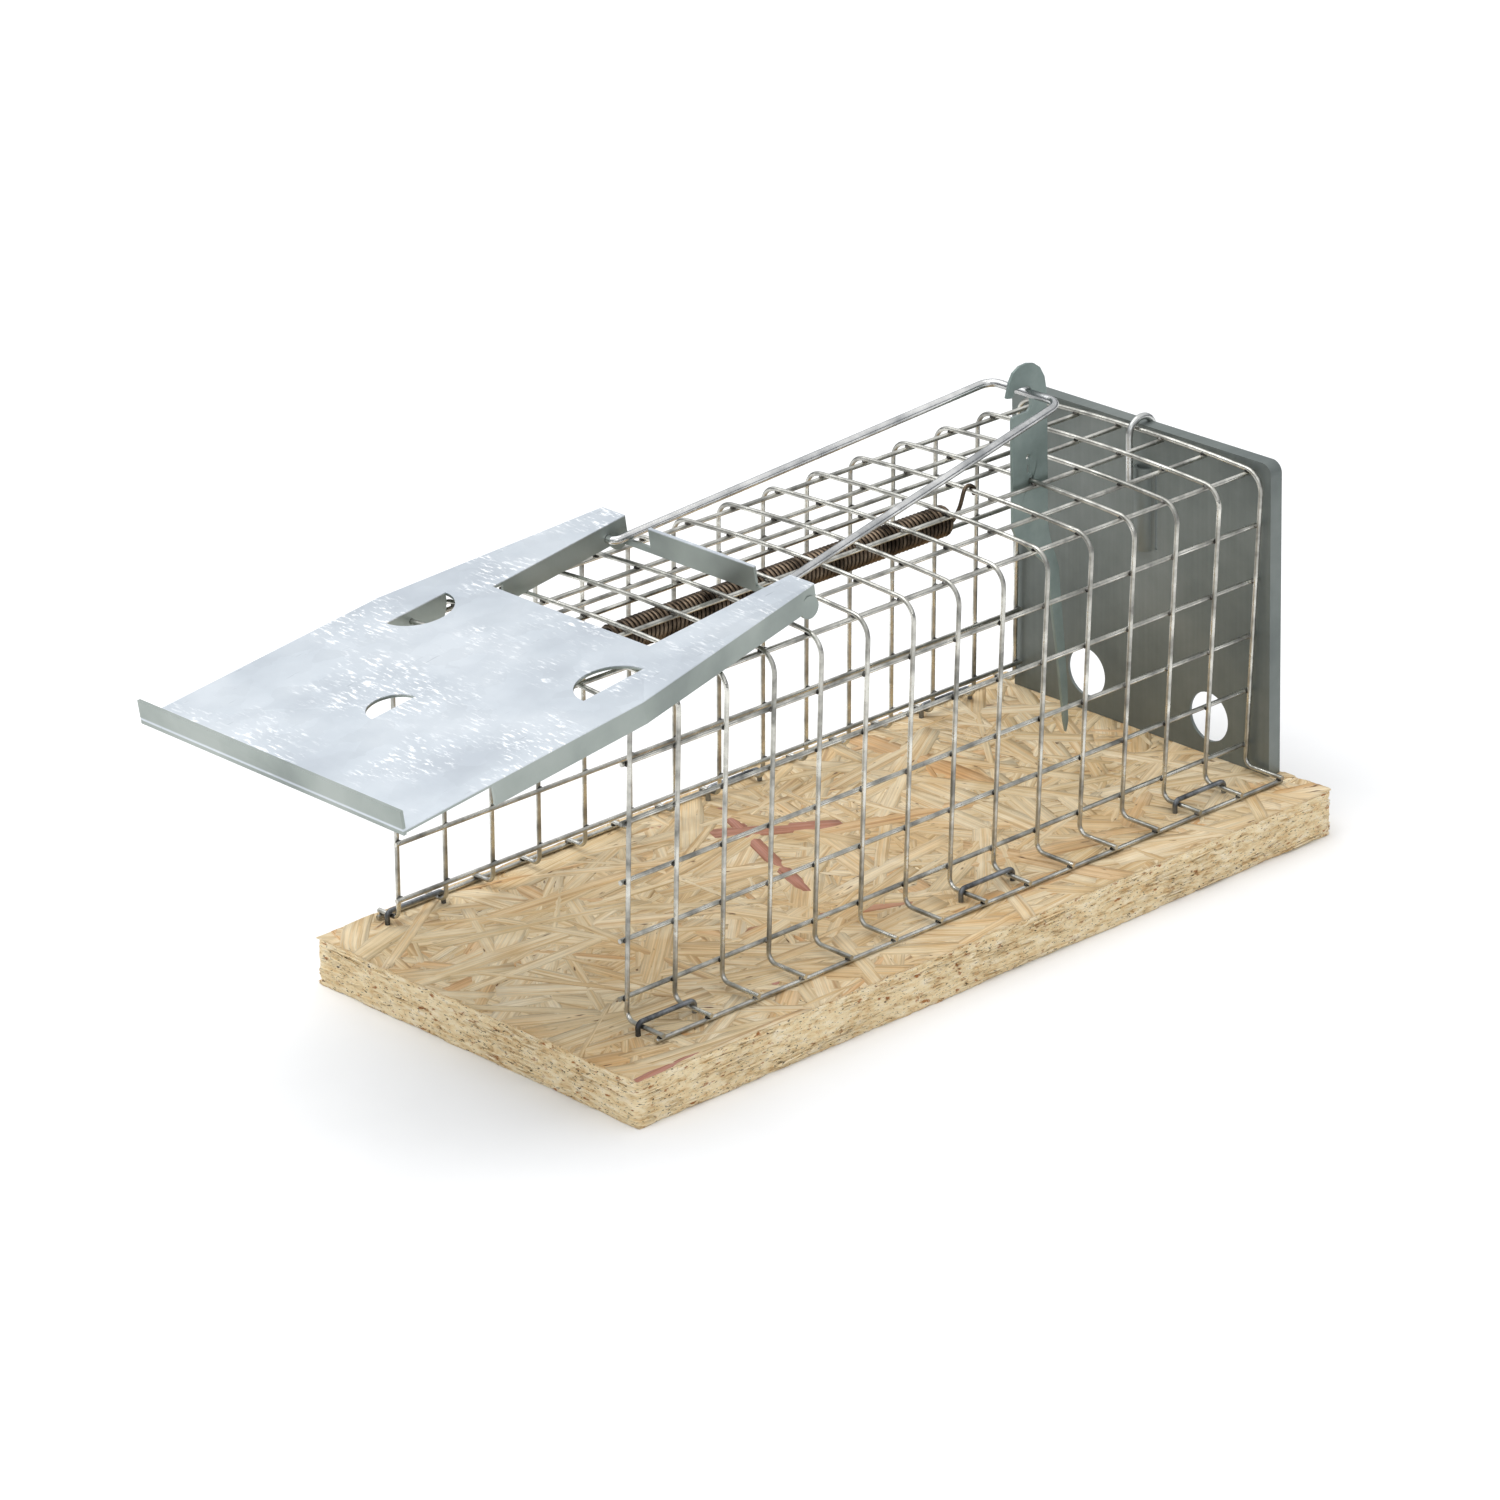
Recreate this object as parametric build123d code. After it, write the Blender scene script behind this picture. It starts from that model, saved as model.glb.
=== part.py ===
"""Live catch mouse trap: a welded mesh cage on a wooden base, with a sheet metal drop door.

Frame: origin at the middle of the underside of the base board, +Z up, the door end at -Y,
the back plate at +Y.  Millimetres.  The door is set open, as the trap stands when it is baited.
"""
from build123d import *
import math
import os

# ---- driving dimensions -------------------------------------------------------------------
BOARD_WIDTH, BOARD_LENGTH, BOARD_THICK = 99.0, 200.0, 10.4

WIRE = 1.0                      # galvanised mesh wire
PITCH = 12.7                    # half inch mesh
HOOP_COUNT = 15
FIRST_HOOP_Y = -84.15
WIRE_GAP = 0.02                 # clear air between crossing wires at a weld
LINE_OVERHANG = 1.3             # line wires run past the end hoops

SIDE_BASE_RIGHT, SIDE_TOP_RIGHT = 29.0, 33.2    # x of the hoop at the board and at the top
SIDE_BASE_LEFT, SIDE_TOP_LEFT = -40.6, -38.2
FOOT_LINE_RIGHT, FOOT_LINE_LEFT = 38.8, -45.9   # x of the outermost line wires
HOOP_TOP = BOARD_THICK + 68.7                   # z of the hoop's top corners
CROWN_RISE = 2.2                                # how far the two top slopes would meet above
CROWN_RADIUS = 460.0
CORNER_RADIUS, FOOT_RADIUS = 4.4, 2.0
TOP_LINE_COUNT, FIRST_TOP_LINE_X, TOP_PITCH = 6, 29.1, -12.55
SIDE_LINE_COUNT, FIRST_SIDE_LINE_Z = 5, BOARD_THICK + 6.1

SHEET = 0.7                     # galvanised sheet of door, trigger and back plate
PLATE_LEFT, PLATE_RIGHT = -41.8, 34.6
PLATE_FRONT_Y, PLATE_TOP, PLATE_FLANGE = 95.0, BOARD_THICK + 70.6, 3.4
PLATE_HOLES = ((-19.6, BOARD_THICK + 9.0), (17.0, BOARD_THICK + 8.8))
PLATE_HOLE_RADIUS = 5.6
PLATE_CORNER_RADIUS = 2.6
STRAP_MIDDLE_X, STRAP_HALF_WIDTH, STRAP_RISE = -2.35, 2.4, 1.9
STRAP_BOTTOM, STRAP_TOP = 52.8, 71.6
SLIT_X, SLIT_WIDTH = 1.4, 0.6
PIN_WIRE, PIN_X, PIN_LOOP_RADIUS = 1.5, -3.2, 3.8
PIN_LOOP_Y, PIN_LOOP_Z = 95.4, 78.8
PIN_FRONT_END, PIN_REAR_END = 68.0, 74.6        # z of the pin's two free ends

DOOR_MIDDLE_X, DOOR_HALF_WIDTH = -2.15, 39.6
DOOR_FRONT_Y, DOOR_FRONT_Z = -144.8, 73.9       # top of the front fold
DOOR_TILT = 7.54                                # degrees, nose down when set
DOOR_LIP = 4.4
KINK, ARM_END, ARM_END_HALF = 61.0, 114.4, 31.3
FLANGE_START, FLANGE_DEPTH = 22.2, 4.9
WINDOW_START, WINDOW_HALF_FRONT, WINDOW_HALF_REAR = 77.4, 23.3, 24.4
HINGE_DROP, EAR_RADIUS, EAR_MIDDLE = 2.5, 7.9, 62.4
EAR_FOLDS = (28.0, -32.4)                       # x of the two ear folds
RUNNING_GAP = 0.08                              # radial, wire in its hole
SPRING_TAB_FOLD_X, SPRING_TAB_MIDDLE, SPRING_TAB_RADIUS = -1.6, 31.6, 5.6
BAIL_HOLE_AT, BAIL_HOLE_DROP = 109.0, 3.1
LOBE_RADIUS, LOBE_REACH = 2.4, 6.6              # round pivot lobe on each flange end
STRIP_NOTCH, STRIP_NOTCH_WIDTH = 4.3, 18.0      # notches that clear the bail
SPRING_HOLE_DROP, SPRING_HOLE_RADIUS = 3.4, 1.0
INNER_LOBE_X, BAIL_HOLE_X = 24.65, 24.5         # from the door's middle line

BAIL_WIRE = 1.8
BAIL_REAR_X, BAIL_REAR_HALF = 2.3, 10.2
BAIL_REAR_Y, BAIL_REAR_Z = 54.8, BOARD_THICK + 89.6
BAIL_LEG_HALF, BAIL_END_HALF = 22.2, 25.9       # where its ends turn out, and where they stop
BAIL_BENDS = (1.6, 3.4, 3.4, 1.6)

TRIGGER_X = 2.6                                 # middle of the lever's thickness
TRIGGER_PIVOT_HOOP = 11
TRIGGER_HOLE_Y, TRIGGER_HOLE_Z, TRIGGER_HOLE_RADIUS = 54.9, 85.7, 0.6
TRIGGER_SLOT_Y, TRIGGER_SLOT_Z, TRIGGER_SLOT_WIDTH, TRIGGER_SLOT_HEIGHT = 55.0, 83.0, 0.9, 2.0
SPRING_RADIUS, SPRING_WIRE, SPRING_X = 3.4, 0.9, -2.2
SPRING_COIL_Y, SPRING_Z = (-58.5, 35.0), BOARD_THICK + 65.4
SPRING_HOOK_HOOP = 10
SPRING_WALL, SPRING_CAP = 0.9, 0.8              # of the plain tube that stands for the coil
HOOK_BEFORE, HOOK_BEYOND, HOOK_TIP = 2.4, 1.4, 2.6
STAPLE_WIRE, STAPLE_LEG, STAPLE_SPAN = 1.1, 7.0, PITCH + 2.3
STAPLED_HOOPS = (0, 7, 12)      # each staple straddles this hoop and the next


# ---- shared shapes ------------------------------------------------------------------------
def hoop_y(index):
    return FIRST_HOOP_Y + PITCH * index


def wire_along(points, radii, diameter):
    """A round wire whose centre follows the points, with each corner bent to its own radius."""
    path = FilletPolyline(*points, radius=radii) if len(points) > 2 else Line(*points)
    start = path @ 0
    section = Plane(origin=start, z_dir=path % 0) * Circle(diameter / 2)
    return sweep(section, path=path)


def rod(start, end, diameter):
    """A straight round wire from one point to another."""
    return wire_along([start, end], None, diameter)


def crown_height(x):
    """Height of a hoop's centre line over the cage at x, on its two nearly straight slopes."""
    middle = (SIDE_TOP_RIGHT + SIDE_TOP_LEFT) / 2
    half = (SIDE_TOP_RIGHT - SIDE_TOP_LEFT) / 2
    slope_height = CROWN_RISE * (1 - abs(x - middle) / half)
    turn = math.atan(CROWN_RISE / half)
    reach = CROWN_RADIUS * math.tan(turn)
    if abs(x - middle) >= reach:
        return HOOP_TOP + slope_height
    top = CROWN_RISE - CROWN_RADIUS * (1 / math.cos(turn) - 1)
    return HOOP_TOP + top - (CROWN_RADIUS - math.sqrt(CROWN_RADIUS**2 - (x - middle)**2))


def side_x(z, base, top):
    """x of a hoop's side at height z, on its straight lean from the board to the top."""
    return base + (top - base) * (z - BOARD_THICK) / (HOOP_TOP - BOARD_THICK)


# ---- base and cage ------------------------------------------------------------------------
def base_board():
    return Pos(0, 0, BOARD_THICK / 2) * Box(BOARD_WIDTH, BOARD_LENGTH, BOARD_THICK)


def hoop_wire(index):
    """One hoop: a foot on the board each side, two leaning sides and a slightly crowned top."""
    y = hoop_y(index)
    foot_z = BOARD_THICK + 1.5 * WIRE + 2 * WIRE_GAP
    middle = (SIDE_TOP_RIGHT + SIDE_TOP_LEFT) / 2
    points = [
        (FOOT_LINE_RIGHT + 1.0, y, foot_z),
        (SIDE_BASE_RIGHT, y, foot_z),
        (SIDE_TOP_RIGHT, y, HOOP_TOP),
        (middle, y, HOOP_TOP + CROWN_RISE),
        (SIDE_TOP_LEFT, y, HOOP_TOP),
        (SIDE_BASE_LEFT, y, foot_z),
        (FOOT_LINE_LEFT - 1.0, y, foot_z),
    ]
    radii = [FOOT_RADIUS, CORNER_RADIUS, CROWN_RADIUS, CORNER_RADIUS, FOOT_RADIUS]
    return wire_along(points, radii, WIRE)


def line_wire(x, z):
    """A straight mesh wire along the cage."""
    first = FIRST_HOOP_Y - LINE_OVERHANG
    last = hoop_y(HOOP_COUNT - 1) + LINE_OVERHANG - 0.6
    return rod((x, first, z), (x, last, z), WIRE)


def top_line(index):
    x = FIRST_TOP_LINE_X + TOP_PITCH * index
    return line_wire(x, crown_height(x) - WIRE - WIRE_GAP)


def side_line(index, base, top, inward):
    """A line wire inside one wall; inward is -1 on the right wall and +1 on the left."""
    z = FIRST_SIDE_LINE_Z + PITCH * index
    return line_wire(side_x(z, base, top) + inward * (WIRE + WIRE_GAP), z)


def foot_line(x):
    return line_wire(x, BOARD_THICK + WIRE / 2 + 0.01)


def staples(x, starts):
    """Flat-crowned wire staples that hold a row of feet down, driven into the board."""
    crown_z = BOARD_THICK + 2 * WIRE + STAPLE_WIRE / 2 + 0.12
    group = []
    for start in starts:
        points = [
            (x, start, BOARD_THICK - STAPLE_LEG),
            (x, start, crown_z),
            (x, start + STAPLE_SPAN, crown_z),
            (x, start + STAPLE_SPAN, BOARD_THICK - STAPLE_LEG),
        ]
        group.append(wire_along(points, [1.2, 1.2], STAPLE_WIRE))
    return Compound(children=group)


def staple_holes(x, starts):
    """The sockets that the staple legs have pressed into the board."""
    depth = STAPLE_LEG
    holes = []
    for start in starts:
        for y in (start, start + STAPLE_SPAN):
            holes.append(Pos(x, y, BOARD_THICK - depth / 2) * Cylinder(STAPLE_WIRE / 2, depth))
    return holes


# ---- back plate ---------------------------------------------------------------------------
def plate_outline(inset, depth):
    """The plate's outline with two round top corners, inset all round but at the foot."""
    width = PLATE_RIGHT - PLATE_LEFT - 2 * inset
    radius = PLATE_CORNER_RADIUS - inset
    middle = (PLATE_RIGHT + PLATE_LEFT) / 2
    foot, top = BOARD_THICK, PLATE_TOP - inset
    square = Pos(middle, depth / 2, (foot + top - radius) / 2) * Box(width, depth, top - radius - foot)
    cap = Pos(middle, depth / 2, top - radius / 2) * Box(width - 2 * radius, depth, radius)
    rounds = [
        Pos(middle + side * (width / 2 - radius), depth / 2, top - radius)
        * Rot(90, 0, 0) * Cylinder(radius, depth)
        for side in (1, -1)
    ]
    return square + cap + rounds[0] + rounds[1]


def pressed_strap():
    """Half round strap pressed forward from the plate, open at its top and closed at its foot."""
    height = STRAP_TOP - STRAP_BOTTOM
    half, rise = STRAP_HALF_WIDTH, STRAP_RISE
    radius = (half**2 + rise**2) / (2 * rise)       # arc through both edges and the crest
    middle = Pos(STRAP_MIDDLE_X, PLATE_FRONT_Y - rise + radius, STRAP_BOTTOM + height / 2)
    shell = middle * (Cylinder(radius, height) - Pos(0, 0, SHEET) * Cylinder(radius - SHEET, height))
    front = Pos(STRAP_MIDDLE_X, PLATE_FRONT_Y - rise, STRAP_BOTTOM + height / 2)
    return shell & front * Box(4 * half, 2 * (rise + 0.2), height)


def back_plate():
    """Tray-shaped sheet behind the last hoop: its side and top edges are turned back."""
    tray = plate_outline(0, PLATE_FLANGE) - Pos(0, SHEET, 0) * plate_outline(SHEET, PLATE_FLANGE)
    plate = Pos(0, PLATE_FRONT_Y, 0) * tray + pressed_strap()
    for x, z in PLATE_HOLES:
        plate -= Pos(x, PLATE_FRONT_Y, z) * Rot(90, 0, 0) * Cylinder(PLATE_HOLE_RADIUS, 6)
    slit_middle = (STRAP_BOTTOM + STRAP_TOP) / 2
    slit_height = STRAP_TOP - STRAP_BOTTOM - 1.2
    return plate - Pos(SLIT_X, PLATE_FRONT_Y, slit_middle) * Box(SLIT_WIDTH, 6, slit_height)


def plate_pin():
    """Wire pin hooked over the plate's top edge: short leg behind, longer leg in front."""
    front, rear = PIN_LOOP_Y - PIN_LOOP_RADIUS, PIN_LOOP_Y + PIN_LOOP_RADIUS
    loop_top = PIN_LOOP_Z + PIN_LOOP_RADIUS
    points = [
        (PIN_X, front, PIN_FRONT_END), (PIN_X, front, loop_top),
        (PIN_X, rear, loop_top), (PIN_X, rear, PIN_REAR_END),
    ]
    bend = PIN_LOOP_RADIUS - 0.01
    return wire_along(points, [bend, bend], PIN_WIRE)


# ---- door ---------------------------------------------------------------------------------
def place_on_door(shape):
    """From the door's flat frame (y back from the front fold, z up from its top) to the cage."""
    return Pos(0, DOOR_FRONT_Y, DOOR_FRONT_Z) * Rot(DOOR_TILT, 0, 0) * shape


def door_point(x, along, up):
    """The same move for a single point."""
    tilt = math.radians(DOOR_TILT)
    y = DOOR_FRONT_Y + along * math.cos(tilt) - up * math.sin(tilt)
    z = DOOR_FRONT_Z + along * math.sin(tilt) + up * math.cos(tilt)
    return (x, y, z)


def door_along(y, z):
    """How far back from the front fold, and how far up, a point of the cage lies on the door."""
    tilt = math.radians(DOOR_TILT)
    dy, dz = y - DOOR_FRONT_Y, z - DOOR_FRONT_Z
    return (dy * math.cos(tilt) + dz * math.sin(tilt), -dy * math.sin(tilt) + dz * math.cos(tilt))


def half_round(fold_x, along, radius, toward, height):
    """A half disc in the sheet's plane on a fold line, bulging toward -x or +x."""
    disc = Pos(fold_x, along, 0) * Cylinder(radius, height)
    keep = Pos(fold_x + toward * radius, along, 0) * Box(2 * radius, 3 * radius, 2 * height)
    return disc & keep


def turned_tab(fold_x, along, radius, inward):
    """The same half disc bent down at its fold line, one sheet thick."""
    x = fold_x + inward * SHEET / 2
    disc = Pos(x, along, -SHEET) * Rot(0, 90, 0) * Cylinder(radius, SHEET)
    keep = Pos(x, along, -SHEET - radius) * Box(2 * SHEET, 3 * radius, 2 * radius)
    bend = Pos(x, along, -SHEET / 2) * Box(SHEET, 2 * radius, SHEET)
    return (disc & keep) + bend


def outline_half(along):
    """Half width of the door's outer edge at a distance from the front fold."""
    if along <= KINK:
        return DOOR_HALF_WIDTH
    return DOOR_HALF_WIDTH + (ARM_END_HALF - DOOR_HALF_WIDTH) * (along - KINK) / (ARM_END - KINK)


def flat_sheet():
    """The blank: a front plate with two arms around the window, before its edges are turned."""
    c = DOOR_MIDDLE_X
    outer = [
        (c - DOOR_HALF_WIDTH, 0), (c + DOOR_HALF_WIDTH, 0), (c + DOOR_HALF_WIDTH, KINK),
        (c + ARM_END_HALF, ARM_END), (c - ARM_END_HALF, ARM_END), (c - DOOR_HALF_WIDTH, KINK),
    ]
    window = [
        (c - WINDOW_HALF_FRONT, WINDOW_START), (c + WINDOW_HALF_FRONT, WINDOW_START),
        (c + WINDOW_HALF_REAR, ARM_END + 1), (c - WINDOW_HALF_REAR, ARM_END + 1),
    ]
    blank = make_face(Polyline(*outer, close=True)) - make_face(Polyline(*window, close=True))
    return Pos(0, 0, -SHEET) * extrude(blank, SHEET)


def side_flange(points, side, depth):
    """A flange hanging from the outer or inner edge; points are (x, along) of its outer face."""
    flange = Part()
    for (x0, a0), (x1, a1) in zip(points, points[1:]):
        strip = [(x0, a0), (x1, a1), (x1 - side * SHEET, a1), (x0 - side * SHEET, a0)]
        flange += Pos(0, 0, -depth) * extrude(make_face(Polyline(*strip, close=True)), depth)
    return flange


def door_flanges(side):
    """Outer flange from behind the front plate, inner flange beside the window, and the pivot lobes."""
    c, depth = DOOR_MIDDLE_X, FLANGE_DEPTH
    outer = [(c + side * outline_half(a), a) for a in (FLANGE_START, KINK, ARM_END)]
    inner = [(c + side * WINDOW_HALF_FRONT, WINDOW_START + 2.6), (c + side * WINDOW_HALF_REAR, ARM_END)]
    flanges = side_flange(outer, side, depth) + side_flange(inner, -side, depth)
    for x in (c + side * (outline_half(BAIL_HOLE_AT) - SHEET / 2 - 0.25), c + side * INNER_LOBE_X):
        lobe = Pos(x, ARM_END - LOBE_RADIUS, LOBE_RADIUS - LOBE_REACH) * Rot(0, 90, 0)
        lobe *= Cylinder(LOBE_RADIUS, SHEET)
        flanges += lobe
    return flanges


def cross_strip():
    """Upright strip between the arm ends, notched at both ends where the bail's legs pass."""
    width, depth = 2 * WINDOW_HALF_REAR + 0.4, FLANGE_DEPTH + 0.7
    strip = Box(width, SHEET, depth)
    for side in (1, -1):
        strip -= Pos(side * width / 2, 0, depth / 2) * Box(STRIP_NOTCH_WIDTH, 2 * SHEET, 2 * STRIP_NOTCH)
    return Pos(DOOR_MIDDLE_X, ARM_END - 1.4, -depth / 2) * strip


def door():
    """The whole door: one pressed sheet with lip, arms, window, cross strip, ears and spring tab."""
    c = DOOR_MIDDLE_X
    sheet = flat_sheet()
    sheet += Pos(c, SHEET / 2, DOOR_LIP / 2 - SHEET) * Box(2 * DOOR_HALF_WIDTH, SHEET, DOOR_LIP + SHEET)
    for side in (1, -1):
        sheet += door_flanges(side)
    sheet += cross_strip()
    for fold_x, inward in zip(EAR_FOLDS, (-1, 1)):
        sheet -= half_round(fold_x + inward * SHEET, EAR_MIDDLE, EAR_RADIUS, inward, 4)
        sheet += turned_tab(fold_x, EAR_MIDDLE, EAR_RADIUS, inward)
    sheet -= half_round(SPRING_TAB_FOLD_X - SHEET, SPRING_TAB_MIDDLE, SPRING_TAB_RADIUS, -1, 4)
    sheet += turned_tab(SPRING_TAB_FOLD_X, SPRING_TAB_MIDDLE, SPRING_TAB_RADIUS, -1)
    for hole in door_holes():
        sheet -= hole
    return place_on_door(sheet)


def door_holes():
    """Hinge holes in the ears, the spring's hole in its tab, and the bail holes in the inner flanges."""
    holes = []
    across = Rot(0, 90, 0)
    for fold_x, inward in zip(EAR_FOLDS, (-1, 1)):
        x = fold_x + inward * SHEET / 2
        along, up = door_along(FIRST_HOOP_Y, crown_height(x))
        holes.append(Pos(x, along, up) * across * Cylinder(WIRE / 2 + RUNNING_GAP + 0.02, 4 * SHEET))
    tab_x = SPRING_TAB_FOLD_X - SHEET / 2
    spring_hole = across * Cylinder(SPRING_HOLE_RADIUS, 4 * SHEET)
    holes.append(Pos(tab_x, SPRING_TAB_MIDDLE, -SPRING_HOLE_DROP) * spring_hole)
    for side in (1, -1):
        x = DOOR_MIDDLE_X + side * BAIL_HOLE_X
        hole = Cylinder(BAIL_WIRE / 2 + RUNNING_GAP, 3.0)
        holes.append(Pos(x, BAIL_HOLE_AT, -BAIL_HOLE_DROP) * across * hole)
    return holes


# ---- bail, trigger, spring ----------------------------------------------------------------
def bail():
    """Bright wire yoke: its two ends turn out through the door's inner flanges."""
    pivot = door_point(0, BAIL_HOLE_AT, -BAIL_HOLE_DROP)
    c = DOOR_MIDDLE_X
    points = [
        (c + BAIL_END_HALF, pivot[1], pivot[2]),
        (c + BAIL_LEG_HALF, pivot[1], pivot[2]),
        (BAIL_REAR_X + BAIL_REAR_HALF, BAIL_REAR_Y, BAIL_REAR_Z),
        (BAIL_REAR_X - BAIL_REAR_HALF, BAIL_REAR_Y, BAIL_REAR_Z),
        (c - BAIL_LEG_HALF, pivot[1], pivot[2]),
        (c - BAIL_END_HALF, pivot[1], pivot[2]),
    ]
    return wire_along(points, list(BAIL_BENDS), BAIL_WIRE)


def trigger_lever():
    """Flat strip on edge: round hooked head, slotted body on a top hoop, narrow bait spike."""
    wire_y, wire_z = BAIL_REAR_Y, BAIL_REAR_Z
    shank_y = wire_y + BAIL_WIRE / 2 + 0.15
    roof_z = wire_z + BAIL_WIRE / 2 + 0.5
    body_left, body_right = 50.2, 60.7
    outline = Polyline(
        (60.7, 92.0), (60.5, 99.6), (60.0, 102.3), (58.7, 104.6), (56.9, 105.9), (54.8, 106.4),
        (52.6, 106.2), (50.8, 105.2), (49.7, 103.4), (48.7, 100.1), (50.3, 99.8), (50.9, 100.3),
        (51.1, roof_z), (shank_y - 0.8, roof_z), (shank_y, roof_z - 0.8),
        (shank_y, 96.6), (shank_y - 0.9, 95.7), (body_left + 0.3, 95.5), (body_left, 94.6),
        (body_left, 71.0), (51.4, 68.4), (60.4, 60.0), (62.0, 47.2), (63.2, 39.2), (64.1, 31.0),
        (65.1, 22.8), (65.7, 20.4), (66.4, 22.8), (66.2, 30.8), (65.6, 38.9), (64.9, 46.7),
        (63.8, 59.0), (61.4, 66.0), (body_right, 69.5), close=True,
    )
    blade = extrude(Plane.YZ * make_face(outline), SHEET)
    pivot_y, pivot_z = hoop_y(TRIGGER_PIVOT_HOOP), crown_height(TRIGGER_X)
    across = Rot(0, 90, 0)
    blade -= Pos(0, pivot_y, pivot_z) * across * Cylinder(WIRE / 2 + RUNNING_GAP, 4)
    blade -= Pos(0, TRIGGER_HOLE_Y, TRIGGER_HOLE_Z) * across * Cylinder(TRIGGER_HOLE_RADIUS, 4)
    slot = Box(4, TRIGGER_SLOT_WIDTH, TRIGGER_SLOT_HEIGHT)
    blade -= Pos(0, TRIGGER_SLOT_Y, TRIGGER_SLOT_Z) * slot
    return Pos(TRIGGER_X - SHEET / 2, 0, 0) * blade


def closing_spring():
    """Tension spring under the cage top: close-wound coil, long front leg, and a hook at each end."""
    front, rear = SPRING_COIL_Y
    coil = Pos(SPRING_X, (front + rear) / 2, SPRING_Z) * Rot(90, 0, 0)
    length = rear - front
    hollow = Cylinder(SPRING_RADIUS - SPRING_WALL, length - 2 * SPRING_CAP)
    body = coil * (Cylinder(SPRING_RADIUS, length) - hollow)
    tab = door_point(0, SPRING_TAB_MIDDLE, -SPRING_HOLE_DROP)
    leg_x = SPRING_TAB_FOLD_X - SHEET - 1.9
    front_leg = wire_along(
        [
            (SPRING_X, front + 0.4, SPRING_Z), (leg_x + 0.2, front - 12.0, SPRING_Z),
            (leg_x, tab[1], tab[2]), (SPRING_TAB_FOLD_X + 1.4, tab[1], tab[2]),
        ],
        [6.0, 1.0],
        SPRING_WIRE,
    )
    hook_y = hoop_y(SPRING_HOOK_HOOP)
    roof = crown_height(SPRING_X) + WIRE / 2 + SPRING_WIRE / 2 + 0.06
    rear_hook = wire_along(
        [
            (SPRING_X, rear - 0.4, SPRING_Z), (SPRING_X, hook_y - HOOK_BEFORE, SPRING_Z),
            (SPRING_X, hook_y - HOOK_BEFORE, roof), (SPRING_X, hook_y + HOOK_BEYOND, roof),
            (SPRING_X, hook_y + HOOK_BEYOND, roof - HOOK_TIP),
        ],
        [1.2, 1.2, 0.9],
        SPRING_WIRE,
    )
    return body + front_leg + rear_hook


# ---- every node, one file each ------------------------------------------------------------
STAPLE_STARTS = [hoop_y(index) - (STAPLE_SPAN - PITCH) / 2 for index in STAPLED_HOOPS]
RIGHT_STAPLES = (33.5, STAPLE_STARTS)
LEFT_STAPLES = (-42.9, STAPLE_STARTS)


def build_nodes():
    nodes = {}
    board = base_board()
    for hole in staple_holes(*RIGHT_STAPLES) + staple_holes(*LEFT_STAPLES):
        board -= hole
    nodes["base_board"] = board
    for index in range(HOOP_COUNT):
        nodes[f"hoop_wire_{index + 1:02d}"] = hoop_wire(index)
    for index in range(TOP_LINE_COUNT):
        nodes[f"top_line_wire_{index + 1:02d}"] = top_line(index)
    for index in range(SIDE_LINE_COUNT):
        nodes[f"side_line_right_{index + 1:02d}"] = side_line(index, SIDE_BASE_RIGHT, SIDE_TOP_RIGHT, -1)
        nodes[f"side_line_left_{index + 1:02d}"] = side_line(index, SIDE_BASE_LEFT, SIDE_TOP_LEFT, 1)
    nodes["foot_line_right"] = foot_line(FOOT_LINE_RIGHT)
    nodes["foot_line_left"] = foot_line(FOOT_LINE_LEFT)
    nodes["staples_right"] = staples(*RIGHT_STAPLES)
    nodes["staples_left"] = staples(*LEFT_STAPLES)
    nodes["back_plate"] = back_plate()
    nodes["plate_pin"] = plate_pin()
    nodes["door"] = door()
    nodes["bail"] = bail()
    nodes["trigger_lever"] = trigger_lever()
    nodes["closing_spring"] = closing_spring()
    return nodes


os.makedirs("parts", exist_ok=True)
for name, shape in build_nodes().items():
    export_step(shape, f"parts/{name}.step")
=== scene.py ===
"""Looks of a live catch mouse trap: welded mesh cage on a strand board base, sheet metal drop door.

Shapes are worked out in millimetres and turned to metres when a piece is made.
"""
import math

import bmesh
import bpy
import numpy as np
from mathutils import Matrix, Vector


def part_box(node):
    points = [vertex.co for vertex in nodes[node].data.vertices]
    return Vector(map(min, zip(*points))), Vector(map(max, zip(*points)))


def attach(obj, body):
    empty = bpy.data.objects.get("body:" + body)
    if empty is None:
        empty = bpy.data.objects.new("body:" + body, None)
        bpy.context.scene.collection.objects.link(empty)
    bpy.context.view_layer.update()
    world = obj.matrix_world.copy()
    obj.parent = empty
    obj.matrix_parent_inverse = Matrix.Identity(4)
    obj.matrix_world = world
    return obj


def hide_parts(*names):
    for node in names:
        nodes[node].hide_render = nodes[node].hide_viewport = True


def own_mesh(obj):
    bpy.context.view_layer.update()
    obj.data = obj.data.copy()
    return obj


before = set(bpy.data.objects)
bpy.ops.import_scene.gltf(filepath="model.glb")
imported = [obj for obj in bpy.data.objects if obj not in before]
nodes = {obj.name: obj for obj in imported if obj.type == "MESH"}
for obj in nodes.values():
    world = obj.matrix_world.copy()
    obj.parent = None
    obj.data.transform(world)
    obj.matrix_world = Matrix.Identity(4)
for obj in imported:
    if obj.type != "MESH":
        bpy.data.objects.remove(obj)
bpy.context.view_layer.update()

# ---- base board: its core --------------------------------------------------------------------
# An offcut of oriented strand board, sawn to size. Its cut edges show pale strand ends lying in
# layers, with pits and cracks between them, and its corners have crumbled a little.
MM = 0.001
board_low, board_high = [np.array(corner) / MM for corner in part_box("base_board")]
BOARD_HALF = (board_high[:2] - board_low[:2]) / 2
BOARD_TOP = board_high[2]
BOARD_CORNER_RADIUS = 2.4
SKIN = 0.34          # thickness of the pressed face strands, which lie over the core
RAGGED_EDGE = 1.5    # deepest wear of the sawn edges
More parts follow.
